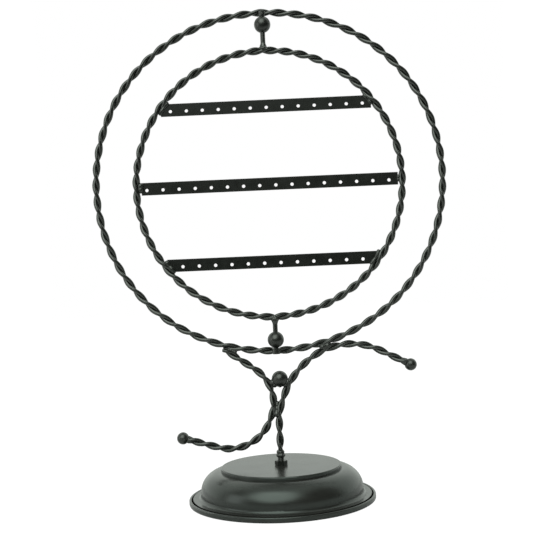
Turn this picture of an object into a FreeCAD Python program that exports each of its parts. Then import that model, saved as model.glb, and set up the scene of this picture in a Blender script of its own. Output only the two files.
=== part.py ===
import FreeCAD, Part
import math
import os

# A free-standing earring rack of painted steel. A hoop of twisted wire rests on a stem and a
# branch, and carries a smaller hoop with three drilled bars that swivels between two pins.
# Millimetres. The origin is under the middle of the base, +Z is up and the front faces -Y.

# Twisted wire and the gaps at its joints
wire_diameter = 2.9
strand_gap = 0.05
seat_gap = 0.1
butt_gap = 1.7
wire_end_gap = 0.6
fixed_fit_gap = 0.02
cut_overrun = 5.0

# Inner hoop, a circle, with its lobes of twist counted up the right side and down the left side
inner_hoop_radius = 99.4
inner_hoop_right_lobes = 27
inner_hoop_left_lobes = 26

# Outer hoop, an ellipse that swells a little on its diagonals, with its lobes counted right round
hoop_side_gap = 31.1
hoop_diagonal_swell = 0.9
hoop_lobes = 61

# Drilled bars
bar_height = 9.4
bar_thickness = 1.5
bar_spacing = 58.1
bar_end_setback = 2.2
middle_bar_left_setback = 4.0
middle_bar_right_setback = 3.2
bar_edge_radius = 0.3
hole_diameter = 2.5
hole_drop = 1.0
upper_hole_count = 13
upper_hole_pitch = 11.95
upper_row_shift = 0.35
middle_hole_count = 16
middle_hole_pitch = 12.07
middle_row_shift = -0.95
lower_hole_count = 12
lower_hole_pitch = 12.25
lower_row_shift = 0.35

# Swivel pins, their balls and the sleeves that they turn in
pivot_ball_diameter = 12.3
pin_diameter = 3.7
pin_running_gap = 0.05
pin_end_setback = 0.4
top_pin_neck_length = 13.15
bottom_pin_neck_length = 11.1
weld_flare_diameter = 6.0
weld_flare_length = 4.0
top_sleeve_diameter = 5.0
top_sleeve_reach = 3.9
top_sleeve_length = 3.6
bottom_sleeve_diameter = 6.5
bottom_sleeve_reach = 2.4
bottom_sleeve_length = 4.4
sleeve_end_radius = 0.5
sleeve_pad_diameter = 2.4
thrust_gap = 0.2

# Stem, which rises from the base, leans right, passes under the hoop and falls to its finial
stem_straight_length = 24.55
stem_lean_radius = 38.9
stem_lean_angle = 19.6
hoop_rise_over_lean = 53.45
stem_climb_radius = 59.8
stem_climb_angle = 38.0
stem_crest_radius = 49.9
stem_crest_angle = 59.9
stem_tip_length = 25.6
stem_lobe_length = 12.5
stem_fork_turn_share = 0.75

# Branch, which leaves its finial, turns up past the stem and ends under the hoop on the left
branch_tail_angle = 16.7
branch_tail_length = 27.6
branch_low_bend_radius = 32.9
branch_low_bend_angle = 83.6
branch_waist_length = 2.45
branch_waist_rise = 2.9
branch_high_bend_radius = 30.7
branch_high_bend_angle = 78.0
branch_cope_length = 20.0
branch_tip_cut = 8.3
branch_lobe_length = 11.7
branch_fork_turn_share = 0.25

# Balls on the ends and in the fork
finial_ball_diameter = 9.2
finial_socket_depth = 1.5
crotch_ball_diameter = 12.3

# Base shell, built up from the floor and out from the middle
rim_lift = 0.2
rim_height = 4.0
rim_bead_radius = 0.95
rim_groove_width = 1.0
rim_groove_depth = 1.7
ledge_rise = 0.15
ledge_width = 3.73
flare_radius = 2.5
shoulder_lift = 4.55
shoulder_radius = 15.0
step_width = 0.8
lip_rise = 2.8
lip_radius = 0.9
top_disc_radius = 45.4
shell_thickness = 1.0

# Ballast, felt and the threaded stud that clamps the base together
felt_thickness = 1.5
felt_side_gap = 2.3
ballast_side_gap = 2.8
ballast_thickness = 8.0
ballast_boss_wall = 6.0
recess_side_gap = 1.5
recess_spare_depth = 2.3
stud_diameter = 5.3
stud_hole_gap = 0.3
stud_end_proud = 1.0
nut_across_flats = 8.3
nut_height = 3.2
nut_chamfer = 0.5
washer_diameter = 15.0
washer_thickness = 1.0
stud_neck_length = 1.9
ferrule_length = 5.4
ferrule_wall = 0.3

# How finely a curve is followed where its seats are worked out
line_samples = 400
contact_stride = 4
cope_quarter_turns = 2
solve_steps = 40
slope_step_share = 0.0001

# Stretches of the outer hoop beside its lowest point, as shares of the way round
lower_right_shares = (0.0, 0.25)
lower_left_shares = (0.75, 1.0)

# The places of the pivots on both hoops, as shares of the way round from the lowest point
bottom_share = 0.0
top_share = 0.5

# Sizes that follow from the ones above
wire_radius = wire_diameter / 2
strand_offset = (wire_diameter + strand_gap) / 2
rope_radius = strand_offset + wire_radius
rope_spacing = 2 * rope_radius + seat_gap
wire_spacing = wire_diameter + seat_gap
fork_spacing = wire_diameter + 2 * seat_gap + math.sqrt(2) * strand_offset
pin_radius = pin_diameter / 2
pivot_ball_radius = pivot_ball_diameter / 2
finial_ball_radius = finial_ball_diameter / 2
crotch_ball_radius = crotch_ball_diameter / 2
stud_radius = stud_diameter / 2
washer_radius = washer_diameter / 2

# Radii of the base, whose straight wall joins the shoulder and the flare
shoulder_middle_radius = top_disc_radius + step_width
wall_radius = shoulder_middle_radius + shoulder_radius
skirt_radius = wall_radius + flare_radius
ledge_radius = skirt_radius + ledge_width
rim_inside_radius = ledge_radius - shell_thickness
felt_radius = rim_inside_radius - felt_side_gap
ballast_radius = wall_radius - shell_thickness - ballast_side_gap
recess_radius = washer_radius + recess_side_gap
boss_radius = recess_radius + ballast_boss_wall

# Depths from front to back: the hoop, the stem and the branch lie in one plane behind the swivel
rope_depth = 0.0
swivel_depth = rope_depth - rope_radius - seat_gap - bottom_sleeve_diameter / 2

# Heights of the base
rim_top = rim_lift + rim_height
ledge_height = rim_top + ledge_rise
shoulder_middle_height = ledge_height + shoulder_lift
shoulder_height = shoulder_middle_height + shoulder_radius
base_height = shoulder_height + lip_rise
boss_height = base_height - shell_thickness
recess_depth = washer_thickness + nut_height + stud_end_proud + recess_spare_depth
recess_height = felt_thickness + recess_depth
nut_top = base_height + nut_height
ferrule_bottom = nut_top + stud_neck_length
stud_top = ferrule_bottom + ferrule_length / 2
stem_start_height = stud_top + wire_end_gap

# Heights of the stem, the hoops and their pivots, from the base up
stem_lean_height = stem_start_height + stem_straight_length
branch_waist_height = stem_lean_height + branch_waist_rise
hoop_bottom = stem_lean_height + hoop_rise_over_lean
bottom_ball_height = hoop_bottom + bottom_sleeve_reach + thrust_gap + pivot_ball_radius
inner_hoop_bottom = bottom_ball_height + pivot_ball_radius + bottom_pin_neck_length
swivel_height = inner_hoop_bottom + inner_hoop_radius
inner_hoop_top = swivel_height + inner_hoop_radius
top_ball_height = inner_hoop_top + top_pin_neck_length + pivot_ball_radius
hoop_top = top_ball_height + pivot_ball_radius + thrust_gap + top_sleeve_reach
hoop_half_height = (hoop_top - hoop_bottom) / 2
hoop_half_width = inner_hoop_radius + hoop_side_gap
hoop_centre_height = (hoop_top + hoop_bottom) / 2

Vector = FreeCAD.Vector
Y_AXIS = Vector(0, 1, 0)
Z_AXIS = Vector(0, 0, 1)


# Lines that the twisted wires follow, as functions of a share of their length

def straight(length):
    """A straight run of a line: its length and no turn."""
    return length, 0.0


def bend(radius, turn):
    """A round stretch of a line: its length and its turn in degrees, left turns positive."""
    return radius * math.radians(abs(turn)), turn


def run_length(moves):
    return sum(length for length, turn in moves)


def point_on_run(start, heading, moves, distance):
    """The point and heading at a distance along straight runs and bends, in the XZ plane.

    A distance before the start or past the end lies straight on from there.
    """
    x, z = start
    angle = math.radians(heading)
    ahead = max(distance, 0.0)
    for length, turn in moves:
        part = min(ahead, length)
        swing = math.radians(turn) * part / length
        if swing == 0:
            x += part * math.cos(angle)
            z += part * math.sin(angle)
        else:
            radius = part / swing
            x += radius * (math.sin(angle + swing) - math.sin(angle))
            z += radius * (math.cos(angle) - math.cos(angle + swing))
        angle += swing
        ahead -= part
    beyond = ahead + min(distance, 0.0)
    x += beyond * math.cos(angle)
    z += beyond * math.sin(angle)
    return (x, z), math.degrees(angle)


def run_line(start, heading, moves):
    total = run_length(moves)
    return lambda share: point_on_run(start, heading, moves, share * total)[0]


def ellipse_line(half_width, half_height, diagonal_swell, height):
    """An ellipse from its lowest point, up the right side first, that swells on its diagonals."""
    def line(share):
        angle = 2 * math.pi * share
        swell = diagonal_swell * math.sin(2 * angle) ** 2
        x = (half_width + swell) * math.sin(angle)
        z = height - (half_height + swell) * math.cos(angle)
        return x, z
    return line


def samples(line, first=0.0, last=1.0):
    step = (last - first) / line_samples
    return [line(first + step * number) for number in range(line_samples + 1)]


def line_length(line):
    places = samples(line)
    return sum(math.dist(one, other) for one, other in zip(places, places[1:]))


def least_distance(point, places):
    return min(math.hypot(point[0] - x, point[1] - z) for x, z in places)


def nearest_share(line, places, first=0.0, last=1.0):
    """The share of a line where it comes nearest to some places."""
    step = (last - first) / line_samples
    shares = [first + step * number for number in range(line_samples + 1)]
    return min(shares, key=lambda share: least_distance(line(share), places))


def solve(low, high, is_high):
    """The value between low and high where is_high starts to be true."""
    for step in range(solve_steps):
        middle = (low + high) / 2
        if is_high(middle):
            high = middle
        else:
            low = middle
    return (low + high) / 2


hoop_line = ellipse_line(hoop_half_width, hoop_half_height, hoop_diagonal_swell, hoop_centre_height)
inner_hoop_line = ellipse_line(inner_hoop_radius, inner_hoop_radius, 0, swivel_height)
hoop_length = line_length(hoop_line)
inner_hoop_length = line_length(inner_hoop_line)


def stem_moves(rise):
    """The stem's run: up from its foot, over to the right, along under the hoop and down."""
    return [
        straight(stem_straight_length),
        bend(stem_lean_radius, -stem_lean_angle),
        straight(rise),
        bend(stem_climb_radius, -stem_climb_angle),
        bend(stem_crest_radius, -stem_crest_angle),
        straight(stem_tip_length),
    ]


stem_foot = (0, stem_start_height)
stem_end_angle = 90 - stem_lean_angle - stem_climb_angle - stem_crest_angle

# The stem's lower part, which is the same whatever its rise
stem_low_run = stem_moves(stem_lean_radius)[:3]
stem_low_line = run_line(stem_foot, 90, stem_low_run)
stem_low_places = samples(stem_low_line)


def branch_moves(reach):
    """The branch's run: from its finial, round under the stem's left side and over to the hoop."""
    return [
        straight(branch_tail_length),
        bend(branch_low_bend_radius, branch_low_bend_angle),
        straight(branch_waist_length),
        bend(branch_high_bend_radius, branch_high_bend_angle),
        straight(reach),
    ]


# The branch starts where it must for its waist to lie at its height, against the stem
moves_to_waist = branch_moves(rope_radius)[:3]
waist_offset = point_on_run((0, 0), -branch_tail_angle, moves_to_waist, run_length(moves_to_waist))[0]


def branch_start_for(waist_x):
    return waist_x - waist_offset[0], branch_waist_height - waist_offset[1]


def branch_meets_stem(waist_x):
    line = run_line(branch_start_for(waist_x), -branch_tail_angle, branch_moves(rope_radius))
    places = samples(line)[::contact_stride]
    return min(least_distance(place, stem_low_places) for place in places) < fork_spacing


branch_start = branch_start_for(solve(-hoop_half_width, 0, branch_meets_stem))


def branch_meets_hoop(reach):
    """Whether a reach takes the middle of the branch's end to the middle of the hoop's wires."""
    moves = branch_moves(reach)
    x, z = point_on_run(branch_start, -branch_tail_angle, moves, run_length(moves))[0]
    return math.hypot(x / hoop_half_width, (z - hoop_centre_height) / hoop_half_height) < 1


branch_reach = solve(seat_gap, hoop_half_width, branch_meets_hoop)
branch_run = branch_moves(branch_reach)
branch_length = run_length(branch_run)
branch_lobes = branch_length / branch_lobe_length
branch_line = run_line(branch_start, -branch_tail_angle, branch_run)
branch_places = samples(branch_line)

# Where the stem and the branch touch, and where the branch ends on the hoop
stem_fork_length = nearest_share(stem_low_line, branch_places) * run_length(stem_low_run)
branch_fork_share = nearest_share(branch_line, stem_low_places)
hoop_branch_share = nearest_share(hoop_line, [branch_line(1.0)], *lower_left_shares)


# Twisted wires

def strand_curve(line, depth, twist, start_turn, side):
    """One wire of a twisted pair as a function of the share of the line. The lay is left-handed."""
    def curve(share):
        x, z = line(share)
        before = line(share - slope_step_share)
        after = line(share + slope_step_share)
        along = Vector(after[0] - before[0], 0, after[1] - before[1]).normalize()
        across = Vector(along.z, 0, -along.x)
        angle = start_turn + twist(share)
        swing = across * math.cos(angle) - Y_AXIS * math.sin(angle)
        return Vector(x, depth, z) + swing * (side * strand_offset)
    return curve


def direction(curve, share):
    return (curve(share + slope_step_share) - curve(share - slope_step_share)).normalize()


def biarc(start, start_way, end, end_way):
    """Two arcs that leave start and reach end in the given directions and meet smoothly."""
    chord = end - start
    along = 2 * chord.dot(start_way + end_way)
    spread = 2 * (1 - start_way.dot(end_way))
    square = chord.dot(chord)
    reach = 2 * square / (along + math.sqrt(along ** 2 + 4 * spread * square))
    corners = (start + start_way * reach, end - end_way * reach)
    meeting = (corners[0] + corners[1]) / 2
    edges = []
    for first, corner, last in ((start, corners[0], meeting), (meeting, corners[1], end)):
        middle = (first + last) / 2
        weight = (first - middle).Length / (first - corner).Length
        crown = (middle + corner * weight) / (1 + weight)
        edges.append(Part.Arc(first, crown, last).toShape())
    return edges


def wire_tube(curve, first, last, quarter_turns, radius=wire_radius):
    """A round wire along a strand's curve, on one biarc for each quarter turn of the twist."""
    shares = [first + (last - first) * number / quarter_turns for number in range(quarter_turns + 1)]
    edges = []
    for near, far in zip(shares, shares[1:]):
        edges += biarc(curve(near), direction(curve, near), curve(far), direction(curve, far))
    section = Part.Circle(curve(first), direction(curve, first), radius).toShape()
    return Part.Wire(edges).makePipeShell([Part.Wire([section])], True, False)


def least_self_gap(curve, first, last, length):
    """The least gap of a wire to its own other stretches, measured on points along it."""
    step = (last - first) / line_samples
    points = [curve(first + step * number) for number in range(line_samples + 1)]
    skip = math.ceil(2 * rope_spacing / (length * step))
    gaps = [
        (one - other).Length
        for number, one in enumerate(points)
        for other in points[number + skip:]
    ]
    return min(gaps) - wire_diameter


def twisted_pair(name, strand, length, lobes, ends):
    """The two wires of a twisted line, as solids named for their strands."""
    first, last = ends
    quarter_turns = math.ceil(2 * lobes)
    pair = {}
    for letter, side in (("a", 1), ("b", -1)):
        node = f"{name}_wire_{letter}"
        pair[node] = wire_tube(strand(side), first, last, quarter_turns)
        gap = least_self_gap(strand(side), first, last, length)
        print(f"{node}: least gap to itself {gap:.2f} mm")
    return pair


def coped(solid, strand, middle_share, reach_share):
    """A solid cut back from the twisted wires that it seats on, either side of a place on their line."""
    for side in (1, -1):
        first = middle_share - reach_share
        last = middle_share + reach_share
        room = wire_tube(strand(side), first, last, cope_quarter_turns, wire_radius + seat_gap)
        solid = solid.cut(room)
    return solid


def even_twist(lobes):
    return lambda share: lobes * math.pi * share


def inner_hoop_twist(share):
    """The inner hoop has more lobes on its right side than on its left."""
    right_lobes = min(share, top_share) / top_share * inner_hoop_right_lobes
    left_lobes = max(share - top_share, 0.0) / (1 - top_share) * inner_hoop_left_lobes
    return (right_lobes + left_lobes) * math.pi


def outer_hoop_strand(side):
    return strand_curve(hoop_line, rope_depth, even_twist(hoop_lobes), math.pi / 2, side)


def inner_hoop_strand(side):
    return strand_curve(inner_hoop_line, swivel_depth, inner_hoop_twist, math.pi / 2, side)


def stem_strand_on(run):
    """The stem's wires along a run, turned so that they nest with the branch at the fork."""
    length = run_length(run)
    line = run_line(stem_foot, 90, run)

    def twist(share):
        return math.pi * (share * length - stem_fork_length) / stem_lobe_length
    start_turn = math.pi * stem_fork_turn_share
    return lambda side: strand_curve(line, rope_depth, twist, start_turn, side)


def wire_points(strand, first, last):
    """Points along both wires of a twisted pair, between two shares of its line."""
    step = (last - first) / line_samples
    shares = [first + step * number for number in range(line_samples + 1)]
    return [tuple(strand(side)(share)) for side in (1, -1) for share in shares]


hoop_right_points = wire_points(outer_hoop_strand, *lower_right_shares)


def stem_meets_hoop(rise):
    """Whether a rise brings the stem's wires, above the fork, nearer to the hoop's than their seat."""
    run = stem_moves(rise)
    length = run_length(run)
    points = wire_points(stem_strand_on(run), stem_fork_length / length, run_length(run[:5]) / length)
    return any(math.dist(one, other) < wire_spacing for one in points for other in hoop_right_points)


stem_rise = solve(seat_gap, hoop_half_height, stem_meets_hoop)
stem_run = stem_moves(stem_rise)
stem_length = run_length(stem_run)
stem_lobes = stem_length / stem_lobe_length
stem_line = run_line(stem_foot, 90, stem_run)
stem_strand = stem_strand_on(stem_run)


def branch_strand(side):
    start_turn = math.pi * (branch_fork_turn_share - branch_lobes * branch_fork_share)
    return strand_curve(branch_line, rope_depth, even_twist(branch_lobes), start_turn, side)


def hoop_ends(length):
    """The shares of a hoop where its wires start and stop, either side of the butt joint."""
    margin = butt_gap / 2 / length
    return margin, 1 - margin


def make_outer_hoop():
    return twisted_pair("outer_hoop", outer_hoop_strand, hoop_length, hoop_lobes, hoop_ends(hoop_length))


def make_inner_hoop():
    lobes = inner_hoop_right_lobes + inner_hoop_left_lobes
    ends = hoop_ends(inner_hoop_length)
    return twisted_pair("inner_hoop", inner_hoop_strand, inner_hoop_length, lobes, ends)


def make_stem():
    margin = (finial_ball_radius - finial_socket_depth) / stem_length
    return twisted_pair("stem", stem_strand, stem_length, stem_lobes, (0.0, 1 - margin))


def beside_hoop(share, offset):
    """A point beside the hoop's line, outside the hoop for an offset above zero."""
    x, z = hoop_line(share)
    before = hoop_line(share - slope_step_share)
    after = hoop_line(share + slope_step_share)
    along = Vector(after[0] - before[0], 0, after[1] - before[1]).normalize()
    return Vector(x + along.z * offset, rope_depth, z - along.x * offset)


def hoop_block():
    """A block over the stretch of hoop where the branch ends, which reaches just below its wires."""
    reach_share = branch_cope_length / hoop_length
    shares = [hoop_branch_share + reach_share * way for way in (-1, 0, 1)]
    under = [beside_hoop(share, rope_radius + seat_gap) for share in shares]
    over = [beside_hoop(share, -rope_radius - cut_overrun) for share in reversed(shares)]
    outline = [
        Part.Arc(*under).toShape(),
        edge_between(under[-1], over[0]),
        Part.Arc(*over).toShape(),
        edge_between(over[-1], under[0]),
    ]
    half_depth = Y_AXIS * (rope_radius + cut_overrun)
    face = Part.Face(Part.Wire(outline)).translated(-half_depth)
    return face.extrude(half_depth * 2)


def make_branch():
    """The branch's wires, cut slantwise where they end against the hoop, without their thin tip."""
    margin = (finial_ball_radius - finial_socket_depth) / branch_length
    pair = twisted_pair("branch", branch_strand, branch_length, branch_lobes, (margin, 1.0))
    end_x, end_z = branch_line(1.0)
    reach = branch_cope_length
    corner = Vector(end_x + branch_tip_cut - reach, rope_depth - reach, end_z - reach)
    tip_room = Part.makeBox(reach, 2 * reach, 2 * reach, corner)
    room = hoop_block().fuse(tip_room)
    return {node: max(wire.cut(room).Solids, key=lambda piece: piece.Volume) for node, wire in pair.items()}


# Balls

def make_finial_ball(place, heading):
    """A ball with a socket for the end of a twisted pair, which leaves it along the heading."""
    x, z = place
    centre = Vector(x, rope_depth, z)
    way = Vector(math.cos(math.radians(heading)), 0, math.sin(math.radians(heading)))
    floor = centre + way * (finial_ball_radius - finial_socket_depth - wire_end_gap)
    socket = Part.makeCylinder(rope_radius + seat_gap, finial_ball_radius, floor, way)
    return Part.makeSphere(finial_ball_radius, centre).cut(socket)


def least_gap(centre, points):
    return min((centre - point).Length for point in points)


def fork_points(strand, fork_share, length):
    """Points on both wires of a twisted pair, over the stretch from the fork up to the hoop."""
    last = fork_share + (hoop_bottom - branch_waist_height) / length
    places = [fork_share + (last - fork_share) * number / line_samples for number in range(line_samples)]
    return [strand(side)(share) for side in (1, -1) for share in places[::contact_stride]]


def crotch_ball_centre():
    """Where the ball rests in the fork, against the wires of the stem and of the branch."""
    stem_points = fork_points(stem_strand, stem_fork_length / stem_length, stem_length)
    branch_points = fork_points(branch_strand, branch_fork_share, branch_length)
    seat = crotch_ball_radius + wire_radius + seat_gap

    def middle(height):
        def place(x):
            return Vector(x, rope_depth, height)

        def is_right(x):
            return least_gap(place(x), stem_points) < least_gap(place(x), branch_points)
        return place(solve(-hoop_half_width, hoop_half_width, is_right))

    def fork_is_wide(height):
        return least_gap(middle(height), stem_points) > seat

    return middle(solve(branch_waist_height, hoop_bottom, fork_is_wide))


def make_crotch_ball():
    return Part.makeSphere(crotch_ball_radius, crotch_ball_centre())


def make_pivot_ball(height):
    centre = Vector(0, swivel_depth, height)
    bore_start = centre - Z_AXIS * (pivot_ball_radius + cut_overrun)
    bore_length = 2 * (pivot_ball_radius + cut_overrun)
    bore = Part.makeCylinder(pin_radius + fixed_fit_gap, bore_length, bore_start)
    return Part.makeSphere(pivot_ball_radius, centre).cut(bore)


# Swivel pins and sleeves. Up is +1 for the top pivot and -1 for the bottom one.

def make_pin(up, hoop_share, sleeve_reach, sleeve_length):
    """A pin from the inner hoop to just short of the far end of its sleeve, flared at its weld."""
    hoop_end = swivel_height + up * (inner_hoop_radius + wire_radius + seat_gap)
    rope_height = hoop_centre_height + up * hoop_half_height
    sleeve_end = rope_height + up * (sleeve_length - sleeve_reach - pin_end_setback)
    foot = Vector(0, swivel_depth, hoop_end)
    way = Z_AXIS * up
    shaft = Part.makeCylinder(pin_radius, abs(sleeve_end - hoop_end), foot, way)
    flare = Part.makeCone(weld_flare_diameter / 2, pin_radius, weld_flare_length, foot, way)
    pin = shaft.fuse(flare).removeSplitter()
    return coped(pin, inner_hoop_strand, hoop_share, weld_flare_diameter / inner_hoop_length)


def make_sleeve(up, sleeve_diameter, sleeve_reach, sleeve_length, has_pad):
    """A short tube on the front of the outer hoop, rounded at its far end, which a pin turns in."""
    rope_height = hoop_centre_height + up * hoop_half_height
    way = Z_AXIS * up
    mouth = Vector(0, swivel_depth, rope_height - up * sleeve_reach)
    tube = Part.makeCylinder(sleeve_diameter / 2, sleeve_length, mouth, way)
    far_edge = max(tube.Edges, key=lambda edge: up * edge.CenterOfMass.z)
    tube = tube.makeFillet(sleeve_end_radius, [far_edge])
    if has_pad:
        pad_length = rope_depth - wire_radius - seat_gap - swivel_depth
        pad_start = Vector(0, swivel_depth, rope_height - up * strand_offset)
        pad = Part.makeCylinder(sleeve_pad_diameter / 2, pad_length, pad_start, Y_AXIS)
        pad = coped(pad, outer_hoop_strand, top_share, sleeve_pad_diameter / hoop_length)
        tube = tube.fuse(pad).removeSplitter()
    bore_length = sleeve_length + 2 * cut_overrun
    bore = Part.makeCylinder(pin_radius + pin_running_gap, bore_length, mouth - way * cut_overrun, way)
    return tube.cut(bore)


# Bars

def make_bar(level, hole_count, hole_pitch, row_shift,
             left_setback=bar_end_setback, right_setback=bar_end_setback):
    """A flat strip across the inner hoop, coped to the hoop's wires and drilled in a row."""
    height = swivel_height + level
    half_chord = math.sqrt(inner_hoop_radius ** 2 - level ** 2)
    bar_length = 2 * half_chord - left_setback - right_setback
    corner = Vector(left_setback - half_chord, swivel_depth - bar_thickness / 2, height - bar_height / 2)
    strip = Part.makeBox(bar_length, bar_thickness, bar_height, corner)
    long_edges = [edge for edge in strip.Edges if edge.Length > half_chord]
    strip = strip.makeFillet(bar_edge_radius, long_edges)
    hoop_middle = Vector(0, swivel_depth, swivel_height)
    strip = strip.cut(Part.makeTorus(inner_hoop_radius, rope_radius + seat_gap, hoop_middle, Y_AXIS))
    drill_length = bar_thickness + 2 * cut_overrun
    drill_depth = swivel_depth - drill_length / 2
    for number in range(hole_count):
        x = row_shift + (number - (hole_count - 1) / 2) * hole_pitch
        place = Vector(x, drill_depth, height - hole_drop)
        strip = strip.cut(Part.makeCylinder(hole_diameter / 2, drill_length, place, Y_AXIS))
    return strip.Solids[0]


# Base

def turned(outline):
    """A solid turned about the Z axis from a closed outline of edges in the XZ plane."""
    face = Part.Face(Part.Wire(outline))
    return face.revolve(Vector(0, 0, 0), Z_AXIS, 360).Solids[0]


def flat_point(radius, height):
    return Vector(radius, 0, height)


def edge_between(start, end):
    return Part.LineSegment(start, end).toShape()


def polyline(points):
    """Straight edges from point to point, without closing the ring."""
    return [edge_between(one, other) for one, other in zip(points, points[1:])]


def arc_about(middle, radius, first_angle, last_angle):
    """An arc about a middle point in the XZ plane, between two angles in degrees."""
    def place(angle):
        swing = math.radians(angle)
        return middle + Vector(math.cos(swing), 0, math.sin(swing)) * radius
    middle_angle = (first_angle + last_angle) / 2
    return Part.Arc(place(first_angle), place(middle_angle), place(last_angle)).toShape()


def make_base_shell():
    """The spun cover: flat disc with a lip, round shoulder, wall, flare, ledge, groove and rolled rim."""
    hole_radius = stud_radius + stud_hole_gap
    shoulder_middle = flat_point(shoulder_middle_radius, shoulder_middle_height)
    flare_middle = flat_point(skirt_radius, ledge_height + flare_radius)
    ledge_end = flat_point(ledge_radius, ledge_height)
    bead_start = ledge_end.x + rim_groove_width
    bead_middle = flat_point(bead_start + rim_bead_radius, rim_top - rim_bead_radius)
    foot_middle = flat_point(bead_middle.x, rim_lift + rim_bead_radius)
    groove_height = ledge_height - rim_groove_depth
    lip_middle = flat_point(top_disc_radius - lip_radius, base_height - lip_radius)
    inner_flare_radius = flare_radius + shell_thickness
    inner_shoulder_radius = shoulder_radius - shell_thickness
    skirt = flare_middle - Z_AXIS * inner_flare_radius

    outer = polyline([flat_point(hole_radius, boss_height), flat_point(hole_radius, base_height),
                      flat_point(lip_middle.x, base_height)])
    outer.append(arc_about(lip_middle, lip_radius, 90, 0))
    outer += polyline([flat_point(top_disc_radius, lip_middle.z),
                       flat_point(top_disc_radius, shoulder_height),
                       flat_point(shoulder_middle.x, shoulder_height)])
    outer.append(arc_about(shoulder_middle, shoulder_radius, 90, 0))
    outer.append(edge_between(flat_point(wall_radius, shoulder_middle.z),
                              flat_point(wall_radius, flare_middle.z)))
    outer.append(arc_about(flare_middle, flare_radius, 180, 270))
    outer += polyline([flat_point(flare_middle.x, ledge_height), ledge_end,
                       flat_point(ledge_end.x, groove_height), flat_point(bead_start, groove_height),
                       flat_point(bead_start, bead_middle.z)])
    outer.append(arc_about(bead_middle, rim_bead_radius, 180, 0))
    outer.append(edge_between(bead_middle + Vector(rim_bead_radius, 0, 0),
                              foot_middle + Vector(rim_bead_radius, 0, 0)))
    outer.append(arc_about(foot_middle, rim_bead_radius, 0, -90))

    inner = polyline([flat_point(foot_middle.x, rim_lift), flat_point(rim_inside_radius, rim_lift),
                      flat_point(rim_inside_radius, skirt.z), skirt])
    inner.append(arc_about(flare_middle, inner_flare_radius, 270, 180))
    inner.append(edge_between(flat_point(wall_radius - shell_thickness, flare_middle.z),
                              flat_point(wall_radius - shell_thickness, shoulder_middle.z)))
    inner.append(arc_about(shoulder_middle, inner_shoulder_radius, 0, 90))
    inner += polyline([flat_point(shoulder_middle.x, shoulder_height - shell_thickness),
                       flat_point(top_disc_radius - shell_thickness, shoulder_height - shell_thickness),
                       flat_point(top_disc_radius - shell_thickness, boss_height),
                       flat_point(hole_radius, boss_height)])
    return turned(outer + inner)


def make_ballast():
    """The cast weight under the cover, with a boss up to it and a recess for the lower nut."""
    hole_radius = stud_radius + stud_hole_gap
    ballast_top = felt_thickness + ballast_thickness
    ring = [
        flat_point(recess_radius, felt_thickness),
        flat_point(ballast_radius, felt_thickness),
        flat_point(ballast_radius, ballast_top),
        flat_point(boss_radius, ballast_top),
        flat_point(boss_radius, boss_height),
        flat_point(hole_radius, boss_height),
        flat_point(hole_radius, recess_height),
        flat_point(recess_radius, recess_height),
    ]
    return turned(polyline(ring + ring[:1]))


def make_felt_pad():
    return Part.makeCylinder(felt_radius, felt_thickness)


def make_nut(bottom):
    """A hexagon nut with its corners chamfered at both ends."""
    corner_radius = nut_across_flats / math.sqrt(3)
    face_radius = corner_radius - nut_chamfer
    corners = []
    for number in range(7):
        angle = math.radians(60 * number)
        corners.append(Vector(math.cos(angle), math.sin(angle), 0) * corner_radius + Z_AXIS * bottom)
    prism = Part.Face(Part.makePolygon(corners)).extrude(Z_AXIS * nut_height)
    chamfer_rise = nut_chamfer / math.sqrt(3)
    barrel = turned(polyline([
        flat_point(0, bottom),
        flat_point(face_radius, bottom),
        flat_point(corner_radius, bottom + chamfer_rise),
        flat_point(corner_radius, bottom + nut_height - chamfer_rise),
        flat_point(face_radius, bottom + nut_height),
        flat_point(0, bottom + nut_height),
        flat_point(0, bottom),
    ]))
    bore_start = Vector(0, 0, bottom - cut_overrun)
    bore = Part.makeCylinder(stud_radius + fixed_fit_gap, nut_height + 2 * cut_overrun, bore_start)
    return prism.common(barrel).cut(bore).Solids[0]


def make_tube(outer_radius, inner_radius, bottom, height):
    outer = Part.makeCylinder(outer_radius, height, Vector(0, 0, bottom))
    bore_start = Vector(0, 0, bottom - cut_overrun)
    return outer.cut(Part.makeCylinder(inner_radius, height + 2 * cut_overrun, bore_start))


def make_ferrule():
    """The collar at the foot of the stem, bored for the stud below and for the twisted wires above."""
    outer_radius = max(rope_radius, stud_radius) + seat_gap + ferrule_wall
    collar = make_tube(outer_radius, stud_radius + seat_gap, ferrule_bottom, ferrule_length)
    rope_room = Part.makeCylinder(rope_radius + seat_gap, ferrule_length, Vector(0, 0, stud_top))
    return collar.cut(rope_room)


def make_base():
    washer_bottom = recess_height - washer_thickness
    lower_nut_bottom = washer_bottom - nut_height
    stud_bottom = lower_nut_bottom - stud_end_proud
    stud_length = stud_top - stud_bottom
    washer_bore = stud_radius + stud_hole_gap
    return {
        "base_shell": make_base_shell(),
        "base_ballast": make_ballast(),
        "base_felt_pad": make_felt_pad(),
        "stem_stud": Part.makeCylinder(stud_radius, stud_length, Vector(0, 0, stud_bottom)),
        "stem_ferrule": make_ferrule(),
        "upper_nut": make_nut(base_height),
        "lower_washer": make_tube(washer_radius, washer_bore, washer_bottom, washer_thickness),
        "lower_nut": make_nut(lower_nut_bottom),
    }


def make_bars():
    return {
        "upper_bar": make_bar(bar_spacing, upper_hole_count, upper_hole_pitch, upper_row_shift),
        "middle_bar": make_bar(0, middle_hole_count, middle_hole_pitch, middle_row_shift,
                               middle_bar_left_setback, middle_bar_right_setback),
        "lower_bar": make_bar(-bar_spacing, lower_hole_count, lower_hole_pitch, lower_row_shift),
    }


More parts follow.
